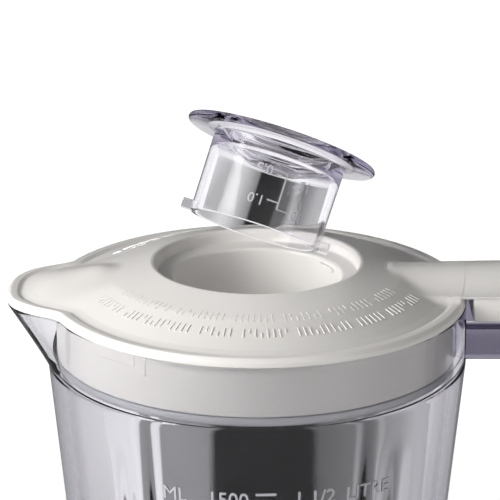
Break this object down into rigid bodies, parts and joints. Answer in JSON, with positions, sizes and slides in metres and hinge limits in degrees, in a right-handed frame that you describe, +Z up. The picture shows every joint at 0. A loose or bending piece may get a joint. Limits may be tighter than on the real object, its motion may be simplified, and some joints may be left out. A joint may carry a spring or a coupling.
{
  "type": "countertop blender",
  "caption": "Countertop blender: motor base with a dial, lift-off tapered clear jug with handle and spout, turn-lock lid, and a raised measuring cap.",
  "frame": {"origin": "drive axis at the flat underside of the bottom plate; the rubber feet stand 2 mm below it", "axes": "+Z up along the drive axis, +X towards the jug's handle, -X towards the spout, -Y towards the speed knob"},
  "size_m": [0.208, 0.199, 0.4047],
  "materials": {
    "white_plastic": "warm grey-white ABS, moulded glossy",
    "clear_plastic": "clear SAN plastic with a faint violet tint at its edges",
    "dark_plastic": "dark grey moulded plastic",
    "silicone": "translucent silicone",
    "rubber": "black rubber",
    "steel": "stainless and electrical steel",
    "copper": "copper: enamelled windings and commutator bars",
    "brass": "brass and sintered bronze",
    "carbon": "pressed carbon",
    "board": "green circuit board"
  },
  "bodies": {
    "base": {"base_housing": "white_plastic", "base_screw_1": "steel", "base_screw_2": "steel", "base_screw_3": "steel", "base_screw_4": "steel", "bottom_plate": "white_plastic", "brush_holder_left": "brass", "brush_holder_right": "brass", "carbon_brush_left": "carbon", "carbon_brush_right": "carbon", "control_board": "board", "cord_gland": "rubber", "field_coil_left": "copper", "field_coil_right": "copper", "foot_1": "rubber", "foot_2": "rubber", "foot_3": "rubber", "foot_4": "rubber", "lower_bearing": "steel", "lower_bracket": "steel", "screw_post_1": "white_plastic", "screw_post_2": "white_plastic", "screw_post_3": "white_plastic", "screw_post_4": "white_plastic", "shaft_seal": "silicone", "speed_switch": "dark_plastic", "stator_core": "steel", "upper_bearing": "steel", "upper_bracket": "steel"},
    "rotor": {"motor_shaft": "steel", "armature": "steel", "commutator": "copper", "cooling_fan": "dark_plastic", "drive_coupling": "dark_plastic"},
    "knob": {"speed_knob": "dark_plastic"},
    "jug": {"jug": "clear_plastic", "jug_handle": "clear_plastic", "jug_collar": "white_plastic", "blade_holder": "white_plastic", "jug_seal_ring": "silicone", "blade_bush": "brass"},
    "blades": {"blade_shaft": "steel", "thrust_washer": "steel", "lower_blade": "steel", "upper_blade": "steel", "blade_nut": "steel", "blade_coupling": "dark_plastic"},
    "lid_ring": {"lid_gasket": "silicone"},
    "lid": {"lid": "white_plastic"},
    "cap_ring": {"cap_seal": "silicone"},
    "cap": {"filler_cap": "clear_plastic"}
  },
  "joints": [
    {"name": "motor_spin", "type": "hinge", "parent": "base", "child": "rotor", "pos_m": [0, 0, 0.06], "axis": [0, 0, 1], "continuous": true},
    {"name": "speed_turn", "type": "hinge", "parent": "base", "child": "knob", "pos_m": [0, -0.0884, 0.052], "axis": [0, 1, 0], "range_deg": [-45, 135]},
    {"name": "jug_lift", "type": "slide", "parent": "base", "child": "jug", "axis": [0, 0, 1], "range_m": [0, 0.06]},
    {"name": "blade_spin", "type": "hinge", "parent": "jug", "child": "blades", "pos_m": [0, 0, 0.15], "axis": [0, 0, 1], "continuous": true},
    {"name": "lid_lift", "type": "slide", "parent": "jug", "child": "lid_ring", "axis": [0, 0, 1], "range_m": [0, 0.06]},
    {"name": "lid_turn", "type": "hinge", "parent": "lid_ring", "child": "lid", "pos_m": [0, 0, 0.338], "axis": [0, 0, 1], "range_deg": [-25, 0]},
    {"name": "cap_lift", "type": "slide", "parent": "lid", "child": "cap_ring", "axis": [0, 0, 1], "range_m": [-0.0418, 0]},
    {"name": "cap_tilt", "type": "hinge", "parent": "cap_ring", "child": "cap", "pos_m": [0, 0, 0.3635], "axis": [-0.788, 0.6157, 0], "range_deg": [-29.8, 0], "deforming": ["cap_seal"]}
  ],
  "couplings": [
    {"joint": "blade_spin", "follows": "motor_spin", "ratio": 1},
    {"joint": "cap_tilt", "follows": "cap_lift", "rad_per_m": 12.44}
  ]
}
